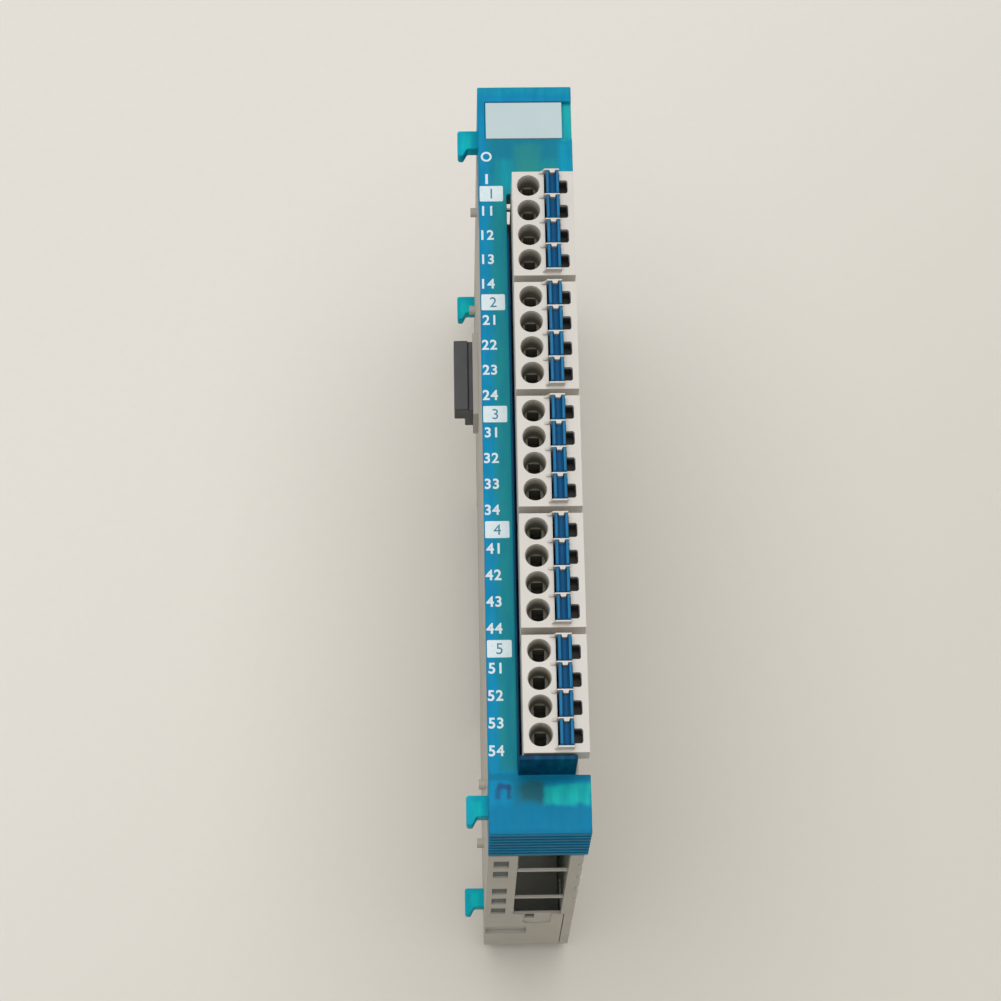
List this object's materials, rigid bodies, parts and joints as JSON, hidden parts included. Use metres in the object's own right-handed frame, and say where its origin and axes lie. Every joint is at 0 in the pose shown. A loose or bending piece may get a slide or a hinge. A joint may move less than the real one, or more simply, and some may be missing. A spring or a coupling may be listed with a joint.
{
  "type": "plc module",
  "caption": "Slim rail-mounted input and output module with a translucent front cover, pull-off spring terminals with press levers, side bus connectors and sliding lock hooks.",
  "frame": {"origin": "middle of the rear face that seats on the front of a 35 mm top-hat rail", "axes": "+Z out of the front, +Y up the long side towards the marker plate, +X to the right seen from the front"},
  "size_m": [0.016, 0.1034, 0.0804],
  "materials": {
    "translucent_blue": "translucent, satin",
    "translucent_teal": "translucent, satin",
    "marker_white": "matte",
    "housing_grey": "fine texture",
    "header_grey": "matte",
    "plug_grey": "fine texture",
    "lever_blue": "satin",
    "latch_grey": "matte",
    "connector_grey": "matte",
    "board_green": "solder mask",
    "chip_black": "matte",
    "clear_plastic": "clear",
    "light_white": "diffuse",
    "spring_steel": "bright",
    "can_aluminium": "satin"
  },
  "bodies": {
    "housing": {"front_cover": "translucent_blue", "marker_plate": "marker_white", "housing_left": "housing_grey", "housing_right": "housing_grey", "circuit_board": "board_green", "light_guide": "clear_plastic", "header_1": "header_grey", "header_2": "header_grey", "header_3": "header_grey", "header_4": "header_grey", "header_5": "header_grey", "converter_chip": "chip_black", "processor_chip": "chip_black", "transformer": "chip_black", "capacitor_1": "can_aluminium", "capacitor_2": "can_aluminium", "status_light_1": "light_white", "status_light_2": "light_white", "bus_plug": "connector_grey", "bus_socket": "connector_grey", "rail_latch_spring": "spring_steel"},
    "plug_1": {"plug_1_housing": "plug_grey", "plug_1_clamps": "spring_steel"},
    "plug_1_lever_1": {"plug_1_lever_1": "lever_blue"},
    "plug_1_lever_2": {"plug_1_lever_2": "lever_blue"},
    "plug_1_lever_3": {"plug_1_lever_3": "lever_blue"},
    "plug_1_lever_4": {"plug_1_lever_4": "lever_blue"},
    "plug_2": {"plug_2_housing": "plug_grey", "plug_2_clamps": "spring_steel"},
    "plug_2_lever_1": {"plug_2_lever_1": "lever_blue"},
    "plug_2_lever_2": {"plug_2_lever_2": "lever_blue"},
    "plug_2_lever_3": {"plug_2_lever_3": "lever_blue"},
    "plug_2_lever_4": {"plug_2_lever_4": "lever_blue"},
    "plug_3": {"plug_3_housing": "plug_grey", "plug_3_clamps": "spring_steel"},
    "plug_3_lever_1": {"plug_3_lever_1": "lever_blue"},
    "plug_3_lever_2": {"plug_3_lever_2": "lever_blue"},
    "plug_3_lever_3": {"plug_3_lever_3": "lever_blue"},
    "plug_3_lever_4": {"plug_3_lever_4": "lever_blue"},
    "plug_4": {"plug_4_housing": "plug_grey", "plug_4_clamps": "spring_steel"},
    "plug_4_lever_1": {"plug_4_lever_1": "lever_blue"},
    "plug_4_lever_2": {"plug_4_lever_2": "lever_blue"},
    "plug_4_lever_3": {"plug_4_lever_3": "lever_blue"},
    "plug_4_lever_4": {"plug_4_lever_4": "lever_blue"},
    "plug_5": {"plug_5_housing": "plug_grey", "plug_5_clamps": "spring_steel"},
    "plug_5_lever_1": {"plug_5_lever_1": "lever_blue"},
    "plug_5_lever_2": {"plug_5_lever_2": "lever_blue"},
    "plug_5_lever_3": {"plug_5_lever_3": "lever_blue"},
    "plug_5_lever_4": {"plug_5_lever_4": "lever_blue"},
    "lower_lock_bar": {"lower_lock_bar": "translucent_teal", "lower_lock_spring": "spring_steel"},
    "upper_lock_bar": {"upper_lock_bar": "translucent_teal", "upper_lock_spring": "spring_steel"},
    "rail_latch": {"rail_latch": "latch_grey"}
  },
  "joints": [
    {"name": "plug_1_pull", "type": "slide", "parent": "housing", "child": "plug_1", "axis": [0, 0, 1], "range_m": [0, 0.026]},
    {"name": "plug_1_lever_1_press", "type": "slide", "parent": "plug_1", "child": "plug_1_lever_1", "axis": [0, 0, -1], "range_m": [0, 0.0012], "stiffness_N_per_m": 2000, "springref_m": -0.001},
    {"name": "plug_1_lever_2_press", "type": "slide", "parent": "plug_1", "child": "plug_1_lever_2", "axis": [0, 0, -1], "range_m": [0, 0.0012], "stiffness_N_per_m": 2000, "springref_m": -0.001},
    {"name": "plug_1_lever_3_press", "type": "slide", "parent": "plug_1", "child": "plug_1_lever_3", "axis": [0, 0, -1], "range_m": [0, 0.0012], "stiffness_N_per_m": 2000, "springref_m": -0.001},
    {"name": "plug_1_lever_4_press", "type": "slide", "parent": "plug_1", "child": "plug_1_lever_4", "axis": [0, 0, -1], "range_m": [0, 0.0012], "stiffness_N_per_m": 2000, "springref_m": -0.001},
    {"name": "plug_2_pull", "type": "slide", "parent": "housing", "child": "plug_2", "axis": [0, 0, 1], "range_m": [0, 0.026]},
    {"name": "plug_2_lever_1_press", "type": "slide", "parent": "plug_2", "child": "plug_2_lever_1", "axis": [0, 0, -1], "range_m": [0, 0.0012], "stiffness_N_per_m": 2000, "springref_m": -0.001},
    {"name": "plug_2_lever_2_press", "type": "slide", "parent": "plug_2", "child": "plug_2_lever_2", "axis": [0, 0, -1], "range_m": [0, 0.0012], "stiffness_N_per_m": 2000, "springref_m": -0.001},
    {"name": "plug_2_lever_3_press", "type": "slide", "parent": "plug_2", "child": "plug_2_lever_3", "axis": [0, 0, -1], "range_m": [0, 0.0012], "stiffness_N_per_m": 2000, "springref_m": -0.001},
    {"name": "plug_2_lever_4_press", "type": "slide", "parent": "plug_2", "child": "plug_2_lever_4", "axis": [0, 0, -1], "range_m": [0, 0.0012], "stiffness_N_per_m": 2000, "springref_m": -0.001},
    {"name": "plug_3_pull", "type": "slide", "parent": "housing", "child": "plug_3", "axis": [0, 0, 1], "range_m": [0, 0.026]},
    {"name": "plug_3_lever_1_press", "type": "slide", "parent": "plug_3", "child": "plug_3_lever_1", "axis": [0, 0, -1], "range_m": [0, 0.0012], "stiffness_N_per_m": 2000, "springref_m": -0.001},
    {"name": "plug_3_lever_2_press", "type": "slide", "parent": "plug_3", "child": "plug_3_lever_2", "axis": [0, 0, -1], "range_m": [0, 0.0012], "stiffness_N_per_m": 2000, "springref_m": -0.001},
    {"name": "plug_3_lever_3_press", "type": "slide", "parent": "plug_3", "child": "plug_3_lever_3", "axis": [0, 0, -1], "range_m": [0, 0.0012], "stiffness_N_per_m": 2000, "springref_m": -0.001},
    {"name": "plug_3_lever_4_press", "type": "slide", "parent": "plug_3", "child": "plug_3_lever_4", "axis": [0, 0, -1], "range_m": [0, 0.0012], "stiffness_N_per_m": 2000, "springref_m": -0.001},
    {"name": "plug_4_pull", "type": "slide", "parent": "housing", "child": "plug_4", "axis": [0, 0, 1], "range_m": [0, 0.026]},
    {"name": "plug_4_lever_1_press", "type": "slide", "parent": "plug_4", "child": "plug_4_lever_1", "axis": [0, 0, -1], "range_m": [0, 0.0012], "stiffness_N_per_m": 2000, "springref_m": -0.001},
    {"name": "plug_4_lever_2_press", "type": "slide", "parent": "plug_4", "child": "plug_4_lever_2", "axis": [0, 0, -1], "range_m": [0, 0.0012], "stiffness_N_per_m": 2000, "springref_m": -0.001},
    {"name": "plug_4_lever_3_press", "type": "slide", "parent": "plug_4", "child": "plug_4_lever_3", "axis": [0, 0, -1], "range_m": [0, 0.0012], "stiffness_N_per_m": 2000, "springref_m": -0.001},
    {"name": "plug_4_lever_4_press", "type": "slide", "parent": "plug_4", "child": "plug_4_lever_4", "axis": [0, 0, -1], "range_m": [0, 0.0012], "stiffness_N_per_m": 2000, "springref_m": -0.001},
    {"name": "plug_5_pull", "type": "slide", "parent": "housing", "child": "plug_5", "axis": [0, 0, 1], "range_m": [0, 0.026]},
    {"name": "plug_5_lever_1_press", "type": "slide", "parent": "plug_5", "child": "plug_5_lever_1", "axis": [0, 0, -1], "range_m": [0, 0.0012], "stiffness_N_per_m": 2000, "springref_m": -0.001},
    {"name": "plug_5_lever_2_press", "type": "slide", "parent": "plug_5", "child": "plug_5_lever_2", "axis": [0, 0, -1], "range_m": [0, 0.0012], "stiffness_N_per_m": 2000, "springref_m": -0.001},
    {"name": "plug_5_lever_3_press", "type": "slide", "parent": "plug_5", "child": "plug_5_lever_3", "axis": [0, 0, -1], "range_m": [0, 0.0012], "stiffness_N_per_m": 2000, "springref_m": -0.001},
    {"name": "plug_5_lever_4_press", "type": "slide", "parent": "plug_5", "child": "plug_5_lever_4", "axis": [0, 0, -1], "range_m": [0, 0.0012], "stiffness_N_per_m": 2000, "springref_m": -0.001},
    {"name": "lower_lock_slide", "type": "slide", "parent": "housing", "child": "lower_lock_bar", "axis": [0, 1, 0], "range_m": [0, 0.0012], "stiffness_N_per_m": 1500, "springref_m": -0.001, "deforming": ["lower_lock_spring"]},
    {"name": "upper_lock_slide", "type": "slide", "parent": "housing", "child": "upper_lock_bar", "axis": [0, 1, 0], "range_m": [0, 0.0012], "stiffness_N_per_m": 1500, "springref_m": -0.001, "deforming": ["upper_lock_spring"]},
    {"name": "rail_latch_slide", "type": "slide", "parent": "housing", "child": "rail_latch", "axis": [0, -1, 0], "range_m": [0, 0.003], "stiffness_N_per_m": 1500, "springref_m": -0.002, "deforming": ["rail_latch_spring"]}
  ]
}
